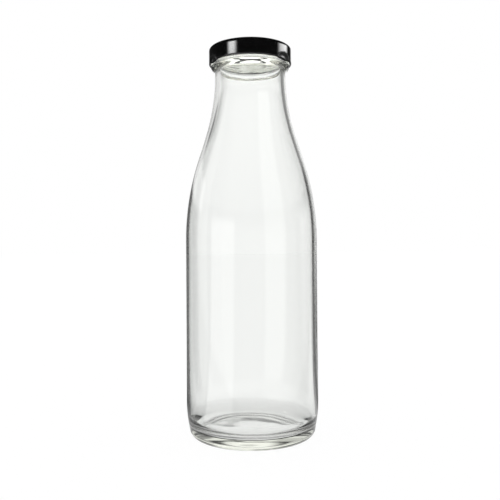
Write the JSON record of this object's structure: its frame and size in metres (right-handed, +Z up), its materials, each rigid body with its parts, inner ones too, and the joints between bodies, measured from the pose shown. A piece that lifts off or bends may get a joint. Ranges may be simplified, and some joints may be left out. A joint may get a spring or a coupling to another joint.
{
  "type": "glass milk bottle",
  "caption": "Tall clear glass milk bottle with sloping shoulders, a slim neck, a domed base and a black twist-off lug cap with a sealing ring.",
  "frame": {"origin": "centre of the base on the standing surface", "axes": "+Z up along the bottle's axis of turning; +X to the right and +Y to the back as the bottle is seen from the front"},
  "size_m": [0.081, 0.081, 0.2385],
  "materials": {
    "clear_glass": "clear soda-lime glass, smooth moulded surface with faint waviness",
    "black_lacquer": "gloss black lacquer on tinplate",
    "seal_compound": "smooth off-white sealing compound, satin"
  },
  "bodies": {
    "bottle": {"bottle": "clear_glass"},
    "seal": {"cap_gasket": "seal_compound"},
    "cap": {"cap_shell": "black_lacquer"}
  },
  "joints": [
    {"name": "cap_lift", "type": "slide", "parent": "bottle", "child": "seal", "axis": [0, 0, 1], "range_m": [0, 0.06]},
    {"name": "cap_twist", "type": "hinge", "parent": "seal", "child": "cap", "pos_m": [0, 0, 0.2335], "axis": [0, 0, -1], "range_deg": [0, 60]}
  ]
}
